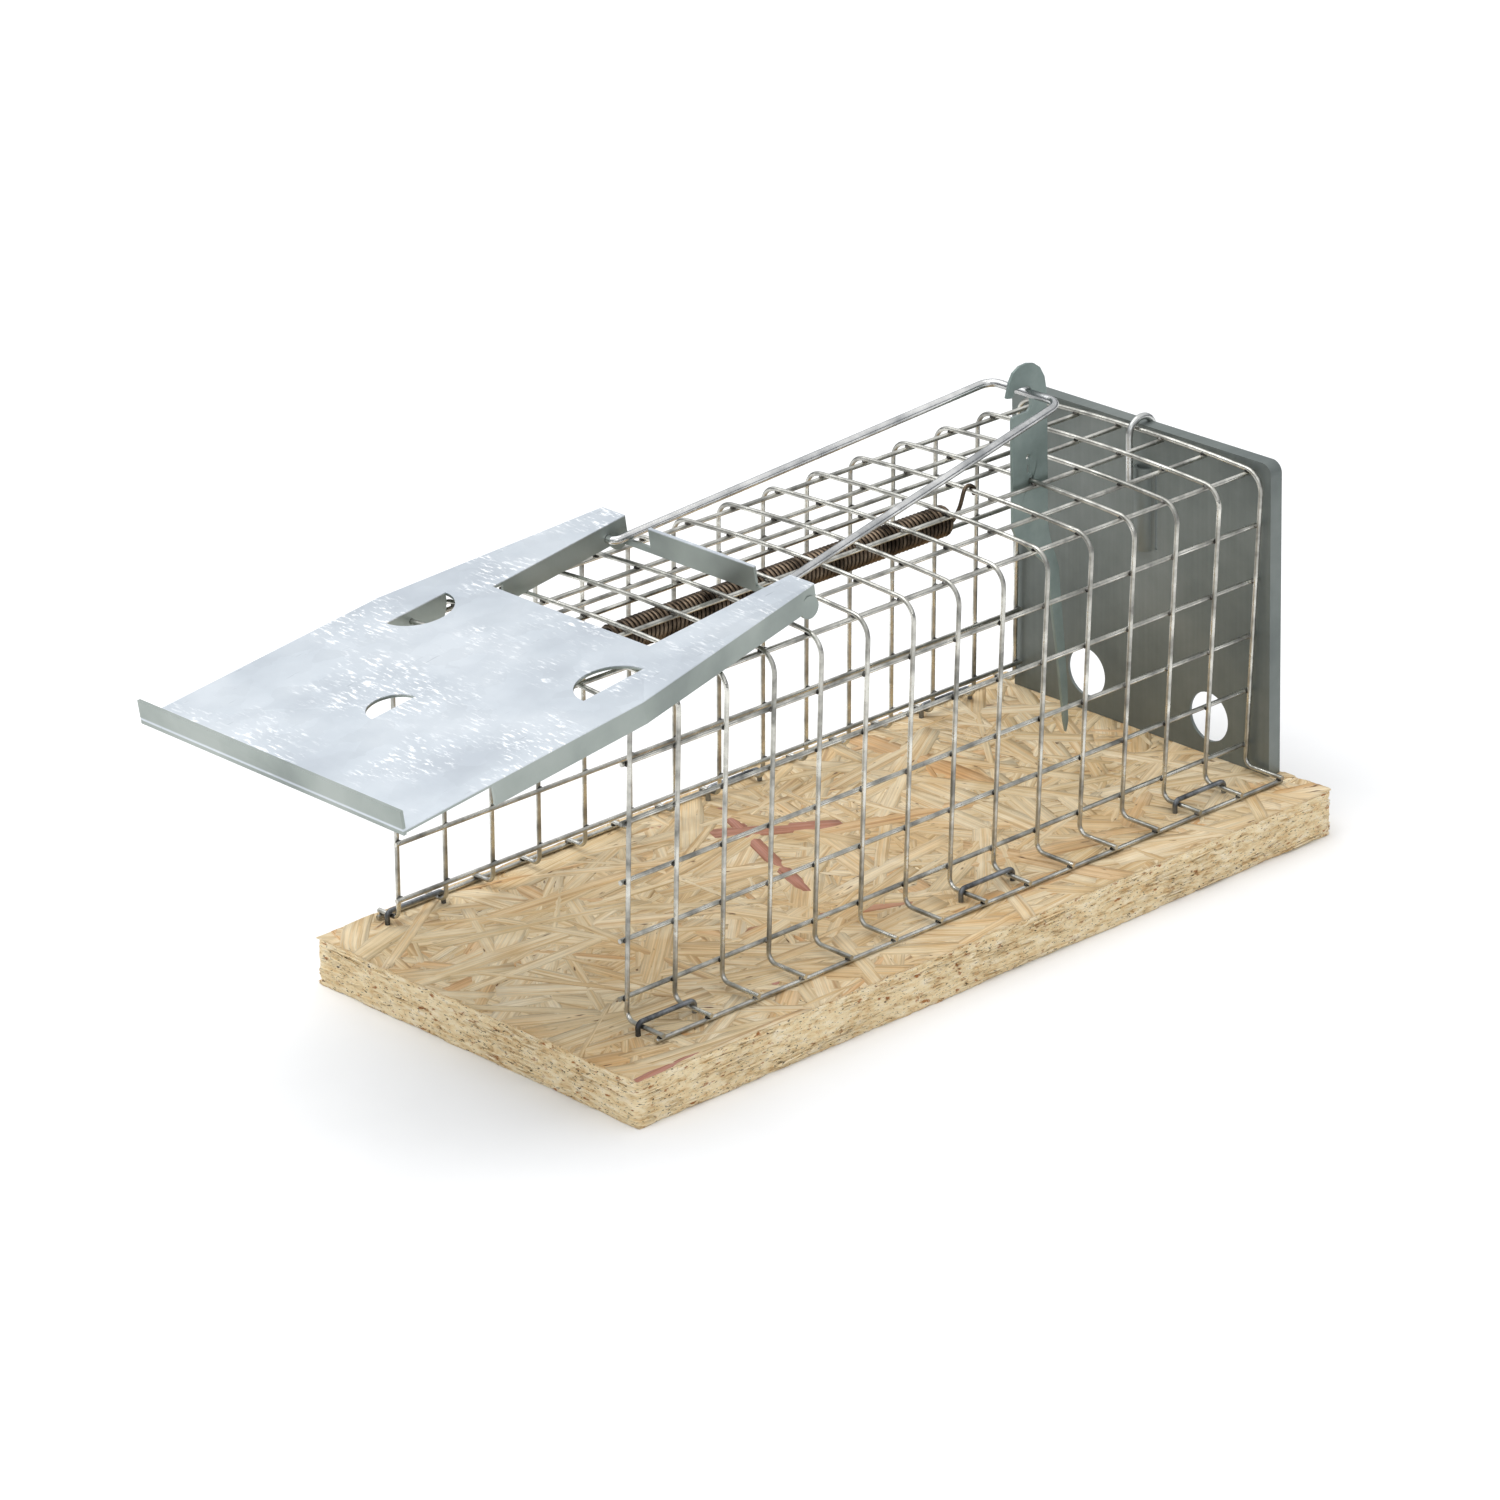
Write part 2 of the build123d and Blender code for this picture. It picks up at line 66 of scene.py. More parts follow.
RIM_STEPS, SIDE_ROWS = 900, 24
CLOSING_INSETS = [30.0, 14.0, 6.0, 2.6, 1.2]   # rings that close the core's top and bottom
RIM_INSET, SIDE_INSET, SIDE_MARGIN = 0.45, 0.1, 0.25
CORE_WEAR_REACH, FACE_WEAR_REACH = 2.5, 3.5    # how far in from the edge the wear fades out
LATTICE = 64         # cells each way in the random lattice
MERGE_WITHIN = 2e-7  # metres; far below any real gap


def linear(hex_colour):
    """An sRGB hex colour as linear red, green, blue and alpha."""
    channels = [int(hex_colour[i:i + 2], 16) / 255 for i in (0, 2, 4)]
    return [c / 12.92 if c <= 0.04045 else ((c + 0.055) / 1.055) ** 2.4 for c in channels] + [1.0]


def add_node(material, kind, inputs=None, stops=None, **settings):
    """Adds a shader node with its settings; inputs holds values or other nodes' outputs to link."""
    node = material.node_tree.nodes.new("ShaderNode" + kind)
    for name, value in settings.items():
        setattr(node, name, value)
    for socket, value in (inputs or {}).items():
        if isinstance(value, bpy.types.NodeSocket):
            material.node_tree.links.new(value, node.inputs[socket])
        else:
            node.inputs[socket].default_value = value
    for index, (place, colour) in enumerate(stops or []):
        elements = node.color_ramp.elements
        element = elements[index] if index < len(elements) else elements.new(place)
        element.position, element.color = place, linear(colour)
    return node


def new_material(name):
    """An empty node material, and its Object coordinates in millimetres."""
    material = bpy.data.materials.new(name)
    material.use_nodes = True
    material.node_tree.nodes.clear()
    place = add_node(material, "TexCoord").outputs["Object"]
    in_mm = add_node(material, "Mapping", {"Vector": place, "Scale": (1 / MM,) * 3})
    return material, in_mm.outputs["Vector"]


def unevenness(points, cell, seed):
    """Smooth random value from 0 to 1: random numbers on a lattice, blended between its corners."""
    lattice = np.random.default_rng(seed).random((LATTICE, LATTICE, LATTICE))
    place = np.asarray(points, float) / np.asarray(cell, float) + 500.0
    low = np.floor(place).astype(int)
    part = place - low
    part = part * part * (3 - 2 * part)
    total = np.zeros(place.shape[:-1])
    for corner in np.ndindex(2, 2, 2):
        weight = np.prod(np.where(np.array(corner) == 1, part, 1 - part), axis=-1)
        spot = (low + np.array(corner)) % LATTICE
        total += weight * lattice[spot[..., 0], spot[..., 1], spot[..., 2]]
    return total


def grid_quads(rows, columns, wrap=False):
    """Quads of a grid numbered row by row; wrap joins the last column to the first."""
    across = np.arange(columns if wrap else columns - 1)
    along = np.arange(rows - 1)[:, None] * columns
    a, b = along + across, along + (across + 1) % columns
    return np.stack([a, b, b + columns, a + columns], axis=-1).reshape(-1, 4)


def repeated(quads, count, points_each):
    """The same quads for many copies of a grid, one after another."""
    return (np.arange(count)[:, None, None] * points_each + quads).reshape(-1, 4)


def make_piece(name, points, faces, material, closed=True):
    """A smooth shaded mesh object from points in mm; closed shapes get their seams and poles merged."""
    mesh = bpy.data.meshes.new(name)
    mesh.from_pydata((np.asarray(points).reshape(-1, 3) * MM).tolist(), [], faces.tolist())
    if closed:
        work = bmesh.new()
        work.from_mesh(mesh)
        bmesh.ops.remove_doubles(work, verts=work.verts, dist=MERGE_WITHIN)
        bmesh.ops.recalc_face_normals(work, faces=work.faces)
        work.to_mesh(mesh)
        work.free()
    mesh.shade_smooth()
    mesh.materials.append(material)
    piece = bpy.data.objects.new(name, mesh)
    bpy.context.scene.collection.objects.link(piece)
    return piece


def outline(share, inset):
    """The board's outline, that share of the way round and inset by so many mm.

    Straight runs between the four corners, each corner pulled onto an arc.
    """
    width, length = BOARD_HALF
    lap = 4 * (width + length)
    stops = np.array([0, 2 * width, 2 * width + 2 * length, 4 * width + 2 * length, lap]) / lap
    half = np.stack(np.broadcast_arrays(width - inset, length - inset), axis=-1)
    signs = np.stack(
        [np.interp(share, stops, [-1, 1, 1, -1, -1]), np.interp(share, stops, [-1, -1, 1, 1, -1])],
        axis=-1,
    )
    point = signs * half
    radius = np.minimum(np.maximum(BOARD_CORNER_RADIUS - inset, 0)[..., None], half)
    middle = np.clip(point, -(half - radius), half - radius)
    reach = point - middle
    distance = np.linalg.norm(reach, axis=-1, keepdims=True)
    return middle + reach * np.minimum(1, radius / np.maximum(distance, 1e-9))


def edge_wear(points):
    """How far the sawn edge has worn in at a place: long shallow hollows, strand ends and pits."""
    hollows = unevenness(points, (13, 13, 5), 1)
    layers = unevenness(points, (3.6, 3.6, 0.9), 2)
    pits = np.clip(unevenness(points, (1.3, 1.3, 0.6), 3) - 0.58, 0, 1) * 2.4
    return RAGGED_EDGE * (0.34 * hollows + 0.30 * layers + 0.36 * pits)


def board_core(material):
    """A closed shell: rings close in over the top, down the worn side, and in again below.

    Each ring is the outline at its inset; the side's rows are set in by the edge wear.
    """
    share = np.arange(RIM_STEPS) / RIM_STEPS
    closing = np.array([BOARD_HALF[0], *CLOSING_INSETS])
    side_z = np.linspace(BOARD_TOP - SKIN - SIDE_MARGIN, SIDE_MARGIN, SIDE_ROWS)
    side = np.full(SIDE_ROWS, SIDE_INSET)
    insets = np.concatenate([closing, [RIM_INSET], side, [RIM_INSET], closing[::-1]])
    top, bottom = np.full(len(closing) + 1, BOARD_TOP - SKIN), np.full(len(closing) + 1, 0.0)
    heights = np.concatenate([top, side_z, bottom])
    inset = np.broadcast_to(insets[:, None], (len(insets), RIM_STEPS))
    flat = outline(share[None, :], inset)
    points = np.concatenate([flat, np.broadcast_to(heights[:, None, None], flat.shape[:2] + (1,))], -1)
    worn = inset + edge_wear(points) * np.clip(1 - inset / CORE_WEAR_REACH, 0, 1)
    points[..., :2] = outline(share[None, :], np.minimum(worn, BOARD_HALF[0]))
    return make_piece("board_core", points, grid_quads(len(insets), RIM_STEPS, wrap=True), material)


def sawn_strand_ends():
    """Sawn strand board edge: pine strands cut across, cream with rust flecks and painted shade for pits.
    """
    material, place = new_material("sawn_strand_ends")
    layered = add_node(material, "Mapping", {"Vector": place, "Scale": (0.30, 0.30, 1.15)}).outputs[0]
    strands = add_node(
        material, "TexNoise", {"Vector": layered, "Scale": 1.0, "Detail": 9.0, "Roughness": 0.68}
    )
    wood = add_node(
        material, "ValToRGB", {"Fac": strands.outputs[0]},
        stops=[(0.28, "a9804a"), (0.37, "e0c190"), (0.50, "f2deb4"), (0.66, "faecd0")],
    )
    fleck_place = add_node(material, "Mapping", {"Vector": place, "Scale": (0.36, 0.36, 0.9)}).outputs[0]
    flecks = add_node(
        material, "TexNoise", {"Vector": fleck_place, "Scale": 1.0, "Detail": 3.0, "Roughness": 0.55}
    )
    fleck_mask = add_node(
        material, "MapRange", {"Value": flecks.outputs[0], "From Min": 0.62, "From Max": 0.70}
    )
    rusty = add_node(
        material, "Mix", {"Factor": fleck_mask.outputs[0], "A": wood.outputs[0], "B": linear("a9713f")},
        data_type="RGBA",
    )
    # Painted shade: small dark brown spots stand for the shade inside pits between the strand ends.
    pit_shade_noise = add_node(
        material, "TexNoise", {"Vector": layered, "Scale": 3.4, "Detail": 2.0, "Roughness": 0.6}
    )
    pits = add_node(material, "MapRange", {"Value": pit_shade_noise.outputs[0], "From Min": 0.62, "From Max": 0.68})
    pit_shaded = add_node(
        material, "Mix", {"Factor": pits.outputs[0], "A": rusty.outputs["Result"], "B": linear("4a3a2a")},
        data_type="RGBA",
    )
    bump = add_node(
        material, "Bump", {"Height": strands.outputs[0], "Strength": 0.8, "Distance": 0.0006}
    )
    surface = add_node(
        material, "BsdfPrincipled",
        {"Base Color": pit_shaded.outputs["Result"], "Roughness": 0.86, "IOR": 1.5,
         "Normal": bump.outputs[0]},
    )
    add_node(material, "OutputMaterial", {"Surface": surface.outputs[0]})
    return material


core_material = sawn_strand_ends()
core = board_core(core_material)
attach(core, "cage")
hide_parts("base_board")

# ---- base board: the face strands ------------------------------------------------------------
# The board's two faces are long thin pine strands, pressed flat over each other at every angle and
# bonded with resin. Each has its own tint and grain, and a few carry a strip of reddish bark.
TOP_STRANDS, BOTTOM_STRANDS = 1500, 420
BARK_SHARE = 0.9965   # strands with a tint above this are thin strips of bark
STRAND_ROWS, STRAND_COLUMNS = 9, 4
STRAND_SHEET = 0.16
STRAND_TURN_SPREAD = 0.95      # radians either side of the board's length
EDGE_MARGIN = 0.12             # strands stop this far inside the board's outline
FULL_TURN = 6.28               # radians, near enough for a random phase
TOP_SEED, BOTTOM_SEED = 11, 12


def face_strands(name, count, outer_z, upward, seed, material):
    """Flat patches, each a grid of u along and v across the grain.

    Long edges waver, ends are cut on a slant, and each patch lies at its own depth below the face.
    """
    rng = np.random.default_rng(seed)
    tint = rng.random(count)
    bark = tint > BARK_SHARE
    length = np.where(bark, rng.uniform(30, 52, count), rng.uniform(9, 48, count))
    plain_width = rng.uniform(1.2, 6.4, count) * (0.5 + length / 70)
    width = np.where(bark, rng.uniform(2.2, 3.8, count), plain_width)
    turn = rng.normal(math.pi / 2, STRAND_TURN_SPREAD, count)
    middle = rng.uniform(-1, 1, (count, 2)) * BOARD_HALF
    u = np.linspace(-1, 1, STRAND_ROWS)[None, :, None]
    v = np.linspace(-1, 1, STRAND_COLUMNS)[None, None, :]
    slant = rng.uniform(-0.9, 0.9, (count, 1, 1)) * (width / length)[:, None, None]
    phase = rng.uniform(0, FULL_TURN, (count, 1, 1))
    along = (u + slant * v + 0.03 * np.sin(9 * v + phase)) * length[:, None, None] / 2
    waver = 1 - 0.10 * np.abs(u) ** 3 + 0.07 * np.sin(4.1 * u + phase) * np.sign(v)
    across = v * waver * width[:, None, None] / 2
    bend = 0.02 * (along ** 2) / length[:, None, None] * np.sin(2.3 * phase)
    cos, sin = np.cos(turn)[:, None, None], np.sin(turn)[:, None, None]
    x = middle[:, 0, None, None] + along * cos - (across + bend) * sin
    y = middle[:, 1, None, None] + along * sin + (across + bend) * cos
    lie = np.where(bark, 0.04, rng.uniform(0.03, SKIN - 0.07, count))[:, None, None]
    depth = lie + 0.02 * (u ** 2 + v ** 2)
    z = np.broadcast_to(outer_z - depth if upward else outer_z + depth, x.shape)
    quads = grid_quads(STRAND_ROWS, STRAND_COLUMNS)
    faces = repeated(quads[:, ::-1] if upward else quads, count, STRAND_ROWS * STRAND_COLUMNS)
    piece = make_piece(name, np.stack([x, y, z], -1), faces, material, closed=False)
    tint = np.broadcast_to(tint[:, None, None], x.shape)
    grain = piece.data.attributes.new("grain_mm", "FLOAT_VECTOR", "POINT")
    shift = rng.uniform(0, 400, (count, 1, 1))
    grain.data.foreach_set("vector", np.stack([along + shift, across, 30 * shift + 0 * x], -1).ravel())
    tints = piece.data.attributes.new("tint", "FLOAT", "POINT")
    tints.data.foreach_set("value", tint.ravel())
    return piece


def cut_to_board(piece):
    """Trims the strands at the board's sawn edges, and wears that edge in as the core's is."""
    work = bmesh.new()
    work.from_mesh(piece.data)
    for axis in (0, 1):
        for side in (-1, 1):
            normal = [side if i == axis else 0 for i in range(3)]
            point = [side * (BOARD_HALF[axis] - EDGE_MARGIN) * MM if i == axis else 0 for i in range(3)]
            everything = work.verts[:] + work.edges[:] + work.faces[:]
            bmesh.ops.bisect_plane(work, geom=everything, plane_co=point, plane_no=normal, clear_outer=True)
    work.to_mesh(piece.data)
    work.free()
    points = np.empty(len(piece.data.vertices) * 3, np.float32)
    piece.data.vertices.foreach_get("co", points)
    points = points.reshape(-1, 3).astype(float) / MM
    wear = edge_wear(points)[:, None]
    room = BOARD_HALF - np.abs(points[:, :2])
    points[:, :2] -= np.sign(points[:, :2]) * wear * np.clip(1 - room / FACE_WEAR_REACH, 0, 1)
    inner = BOARD_HALF - BOARD_CORNER_RADIUS
    middle = np.clip(points[:, :2], -inner, inner)
    reach = points[:, :2] - middle
    distance = np.linalg.norm(reach, axis=1, keepdims=True)
    points[:, :2] = middle + reach * np.minimum(1, BOARD_CORNER_RADIUS / np.maximum(distance, 1e-9))
    piece.data.vertices.foreach_set("co", (points * MM).astype(np.float32).ravel())
    piece.data.update()


def pressed_pine_strands():
    """Pine strands pressed under hot platens: satin straw to tan, fine grain, knots and bark strips."""
    material, place = new_material("pressed_pine_strands")
    tint = add_node(material, "Attribute", attribute_name="tint").outputs["Fac"]
    grain_place = add_node(material, "Attribute", attribute_name="grain_mm").outputs["Vector"]
    wood = add_node(
        material, "ValToRGB", {"Fac": tint},
        stops=[(0.00, "dcc39a"), (0.16, "e4d0ab"), (0.38, "ead9b8"), (0.58, "e1cda8"), (0.76, "efe0c2"),
               (0.90, "e6cea6"), (0.993, "dbb689"), (0.996, "bf8b7c")],
    )
    # Growth rings show about 1.2 mm apart; the finer fibre lines are drawn at 0.35 mm so they show.
    ring_place = add_node(material, "Mapping", {"Vector": grain_place, "Scale": (0.022, 0.75, 1.0)})
    rings = add_node(
        material, "TexNoise",
        {"Vector": ring_place.outputs[0], "Scale": 1.0, "Detail": 5.0, "Roughness": 0.62,
         "Distortion": 0.35},
    )
    ring_shade = add_node(
        material, "ValToRGB", {"Fac": rings.outputs[0]},
        stops=[(0.30, "b98f5c"), (0.42, "ead6b4"), (0.54, "ffffff"), (0.72, "f7e9cf")],
    )
    ringed = add_node(
        material, "Mix", {"Factor": 0.66, "A": wood.outputs[0], "B": ring_shade.outputs[0]},
        data_type="RGBA", blend_type="MULTIPLY",
    )
    fibre_place = add_node(material, "Mapping", {"Vector": grain_place, "Scale": (0.07, 2.9, 1.0)})
    fibres = add_node(
        material, "TexNoise", {"Vector": fibre_place.outputs[0], "Scale": 1.0, "Detail": 3.0}
    )
    fibre_shade = add_node(
        material, "MapRange",
        {"Value": fibres.outputs[0], "From Min": 0.36, "From Max": 0.60, "To Min": 0.84, "To Max": 1.05},
    )
    fibred = add_node(
        material, "VectorMath", {0: ringed.outputs["Result"], 1: fibre_shade.outputs[0]},
        operation="MULTIPLY",
    )
    blotches = add_node(material, "TexNoise", {"Vector": place, "Scale": 0.055, "Detail": 4.0})
    blotch_shade = add_node(
        material, "ValToRGB", {"Fac": blotches.outputs[0]},
        stops=[(0.36, "e6dcc6"), (0.50, "ffffff"), (0.66, "eed9b6")],
    )
    blotched = add_node(
        material, "Mix", {"Factor": 0.55, "A": fibred.outputs[0], "B": blotch_shade.outputs[0]},
        data_type="RGBA", blend_type="MULTIPLY",
    )
    speck_place = add_node(material, "Mapping", {"Vector": grain_place, "Scale": (0.22, 0.85, 1.0)})
    specks = add_node(
        material, "TexNoise", {"Vector": speck_place.outputs[0], "Scale": 1.0, "Detail": 2.0}
    )
    speck_mask = add_node(
        material, "MapRange", {"Value": specks.outputs[0], "From Min": 0.68, "From Max": 0.76}
    )
    specked = add_node(
        material, "Mix",
        {"Factor": speck_mask.outputs[0], "A": blotched.outputs["Result"], "B": linear("6d4c2c")},
        data_type="RGBA",
    )
    bump = add_node(
        material, "Bump", {"Height": rings.outputs[0], "Strength": 0.45, "Distance": 0.00035}
    )
    gloss = add_node(
        material, "MapRange", {"Value": fibres.outputs[0], "To Min": 0.60, "To Max": 0.80}
    )
    surface = add_node(
        material, "BsdfPrincipled",
        {"Base Color": specked.outputs["Result"], "Roughness": gloss.outputs[0], "IOR": 1.5,
         "Normal": bump.outputs[0]},
    )
    add_node(material, "OutputMaterial", {"Surface": surface.outputs[0]})
    return material


strand_material = pressed_pine_strands()
for strand_piece in (
    face_strands("board_top_strands", TOP_STRANDS, BOARD_TOP, True, TOP_SEED, strand_material),
    face_strands("board_bottom_strands", BOTTOM_STRANDS, 0.0, False, BOTTOM_SEED, strand_material),
):
    cut_to_board(strand_piece)
    thickness = strand_piece.modifiers.new("strand_sheet", "SOLIDIFY")
    thickness.thickness, thickness.offset = STRAND_SHEET * MM, -1
    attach(strand_piece, "cage")

# ---- base board: strand ends along its sawn edges --------------------------------------------
# The saw leaves the ends of some strands standing a little proud of the edge, in thin layers.
EDGE_SLIVERS = 1500
SLIVER_STATIONS, SLIVER_SIDES = 6, 4
SLIVER_SEED = 21
SLIVER_STAND = 0.34   # half the width of a sliver, in and out of the edge


def edge_slivers(material):
    """Thin tapered bars lying along the outline: u runs along it, v round a flat four-sided section."""
    rng = np.random.default_rng(SLIVER_SEED)
    share = rng.random(EDGE_SLIVERS)[:, None, None]
    length = rng.uniform(3, 15, EDGE_SLIVERS)[:, None, None]
    thick = rng.uniform(0.22, 0.62, EDGE_SLIVERS)[:, None, None]
    level = rng.uniform(0.6, BOARD_TOP - SKIN - 0.5, EDGE_SLIVERS)[:, None, None]
    tilt = rng.normal(0, 0.05, EDGE_SLIVERS)[:, None, None]
    u = np.linspace(-0.5, 0.5, SLIVER_STATIONS)[None, :, None]
    v = np.arange(SLIVER_SIDES)[None, None, :] * math.pi / 2
    taper = np.sqrt(np.clip(1 - (2 * u) ** 4, 0, 1))
    lap = 4 * BOARD_HALF.sum()
    around = (share + u * length / lap) % 1
    sunk = rng.uniform(0.40, 1.35, EDGE_SLIVERS)[:, None, None]
    inset = sunk - SLIVER_STAND * np.cos(v) * taper
    height = level + tilt * u * length + thick / 2 * np.sin(v) * taper
    flat = outline(np.broadcast_to(around, height.shape), np.broadcast_to(inset, height.shape))
    points = np.concatenate([flat, height[..., None]], -1)
    faces = repeated(
        grid_quads(SLIVER_STATIONS, SLIVER_SIDES, wrap=True), EDGE_SLIVERS,
        SLIVER_STATIONS * SLIVER_SIDES,
    )
    return make_piece("board_edge_slivers", points, faces, material)


slivers = edge_slivers(core_material)
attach(slivers, "cage")

# ---- mesh cage -------------------------------------------------------------------------------
# Half inch welded mesh of 1 mm steel wire, galvanised after it was welded, bent into a tunnel.
# The zinc is dull and slightly lumpy, bright where it has been handled and sooty by the welds.


def dress(names, material):
    """Gives CAD nodes their finish."""
    for name in names:
        slots = nodes[name].data.materials
        slots.clear()
        slots.append(material)


def zinc_dipped_wire():
    """Hot dipped galvanised wire: grey white zinc, satin, with dull patches and small lumps."""
    material, place = new_material("zinc_dipped_wire")
    patches = add_node(
        material, "TexNoise", {"Vector": place, "Scale": 0.16, "Detail": 5.0, "Roughness": 0.6}
    )
    zinc = add_node(
        material, "ValToRGB", {"Fac": patches.outputs[0]},
        stops=[(0.33, "84847f"), (0.48, "b3b2ab"), (0.60, "d0cfc7"), (0.75, "e4e2d9")],
    )
    dullness = add_node(
        material, "MapRange", {"Value": patches.outputs[0], "From Min": 0.35, "From Max": 0.65,
                               "To Min": 0.42, "To Max": 0.22},
    )
    lumps = add_node(material, "TexNoise", {"Vector": place, "Scale": 0.9, "Detail": 3.0})
    bump = add_node(material, "Bump", {"Height": lumps.outputs[0], "Strength": 0.5, "Distance": 0.0002})
    surface = add_node(
        material, "BsdfPrincipled",
        {"Base Color": zinc.outputs[0], "Metallic": 1.0, "Roughness": dullness.outputs[0],
         "Normal": bump.outputs[0]},
    )
    add_node(material, "OutputMaterial", {"Surface": surface.outputs[0]})
    return material


hoops = sorted(name for name in nodes if name.startswith("hoop_wire_"))
top_lines = sorted(name for name in nodes if name.startswith("top_line_wire_"))
side_lines = sorted(name for name in nodes if name.startswith("side_line_"))
foot_lines = ["foot_line_left", "foot_line_right"]
dress(hoops + top_lines + side_lines + foot_lines, zinc_dipped_wire())

# ---- welds -----------------------------------------------------------------------------------
# Each crossing was resistance welded, so the wires sink into one another in a small dark knot with
# a collar of squeezed metal, which the zinc covers unevenly.
WELD_RINGS, WELD_SIDES = 5, 8
WELD_RADIUS, WELD_STRETCH = 0.62, 1.25
WELD_SEED = 31
HALF_WIRE = 0.5


def box_middle(name):
    """Middle of a CAD node's box, in mm."""
    low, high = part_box(name)
    return (np.array(low) + np.array(high)) / 2 / MM


def weld_centres():
    """Where each hoop crosses each line wire, half way between the two wires' middles."""
    cage_middle_x = box_middle("hoop_wire_01")[0]
    hoop_y = np.array([box_middle(name)[1] for name in hoops])
    centres = []
    for name in top_lines + side_lines + foot_lines:
        x, _, z = box_middle(name)
        if name in top_lines or name in foot_lines:
            z += HALF_WIRE
        else:
            x += HALF_WIRE if x > cage_middle_x else -HALF_WIRE
        centres.append(np.stack([np.full_like(hoop_y, x), hoop_y, np.full_like(hoop_y, z)], -1))
    return np.concatenate(centres)


def weld_knots(material):
    """A ball stretched along the line wire, u from pole to pole and v round it, each one uneven."""
    centres = weld_centres()
    rng = np.random.default_rng(WELD_SEED)
    u = np.linspace(0, math.pi, WELD_RINGS)[None, :, None]
    v = np.arange(WELD_SIDES)[None, None, :] * 2 * math.pi / WELD_SIDES
    count = len(centres)
    size = WELD_RADIUS * rng.uniform(0.88, 1.14, (count, 3))
    lumps = 1 + 0.10 * np.sin(2 * v + rng.uniform(0, FULL_TURN, (count, 1, 1))) * np.sin(u)
    x = centres[:, 0, None, None] + size[:, 0, None, None] * np.sin(u) * np.cos(v) * lumps
    y = centres[:, 1, None, None] + WELD_STRETCH * size[:, 1, None, None] * np.cos(u) * np.ones_like(lumps)
    z = centres[:, 2, None, None] + size[:, 2, None, None] * np.sin(u) * np.sin(v) * lumps
    faces = repeated(grid_quads(WELD_RINGS, WELD_SIDES, wrap=True), count, WELD_RINGS * WELD_SIDES)
    return make_piece("mesh_weld_knots", np.stack([x, y, z], -1), faces, material)


def sooty_weld():
    """Resistance weld under zinc: dark grey, rougher than the wire, with a few bright grains."""
    material, place = new_material("sooty_weld")
    grains = add_node(material, "TexNoise", {"Vector": place, "Scale": 0.8, "Detail": 4.0})
    metal = add_node(
        material, "ValToRGB", {"Fac": grains.outputs[0]},
        stops=[(0.36, "2f2e2c"), (0.52, "5d5b57"), (0.70, "9b9994")],
    )
    bump = add_node(material, "Bump", {"Height": grains.outputs[0], "Strength": 0.7, "Distance": 0.0002})
    surface = add_node(
        material, "BsdfPrincipled",
        {"Base Color": metal.outputs[0], "Metallic": 1.0, "Roughness": 0.55, "Normal": bump.outputs[0]},
    )
    add_node(material, "OutputMaterial", {"Surface": surface.outputs[0]})
    return material


welds = weld_knots(sooty_weld())
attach(welds, "cage")

# ---- staples ---------------------------------------------------------------------------------
# Drawn wire staples gone dull grey, driven over the feet of the cage into the board.


def drawn_steel_wire(name, dark, light, roughness, dull_every):
    """Drawn steel wire: lines left by the die run along it, with dull oxide patches over them."""
    material, place = new_material(name)
    patches = add_node(
        material, "TexNoise", {"Vector": place, "Scale": 1 / dull_every, "Detail": 5.0, "Roughness": 0.62}
    )
    metal = add_node(
        material, "ValToRGB", {"Fac": patches.outputs[0]}, stops=[(0.36, dark), (0.62, light)]
    )
    satin = add_node(
        material, "MapRange", {"Value": patches.outputs[0], "From Min": 0.35, "From Max": 0.65,
                               "To Min": roughness + 0.18, "To Max": roughness},
    )
    die_lines = add_node(material, "TexNoise", {"Vector": place, "Scale": 2.2, "Detail": 2.0})
    bump = add_node(
        material, "Bump", {"Height": die_lines.outputs[0], "Strength": 0.25, "Distance": 0.0001}
    )
    surface = add_node(
        material, "BsdfPrincipled",
        {"Base Color": metal.outputs[0], "Metallic": 1.0, "Roughness": satin.outputs[0],
         "Normal": bump.outputs[0]},
    )
    add_node(material, "OutputMaterial", {"Surface": surface.outputs[0]})
    return material


dress(["staples_left", "staples_right"], drawn_steel_wire("staple_wire", "4d4f52", "9a9ea2", 0.34, 6.0))

# ---- back plate and trigger ------------------------------------------------------------------
# Cut from thin galvanised sheet that has gone dull, with an even grey green bloom over the zinc.
# The plate's edges are turned back, and the trigger is punched from a slightly brighter sheet.
BLOOMED_ZINC_METALLIC = 0.55   # oxide bloom hides part of the metal
SAME_POINT = 1e-6              # metres
SHARP_FOLD = math.radians(40)


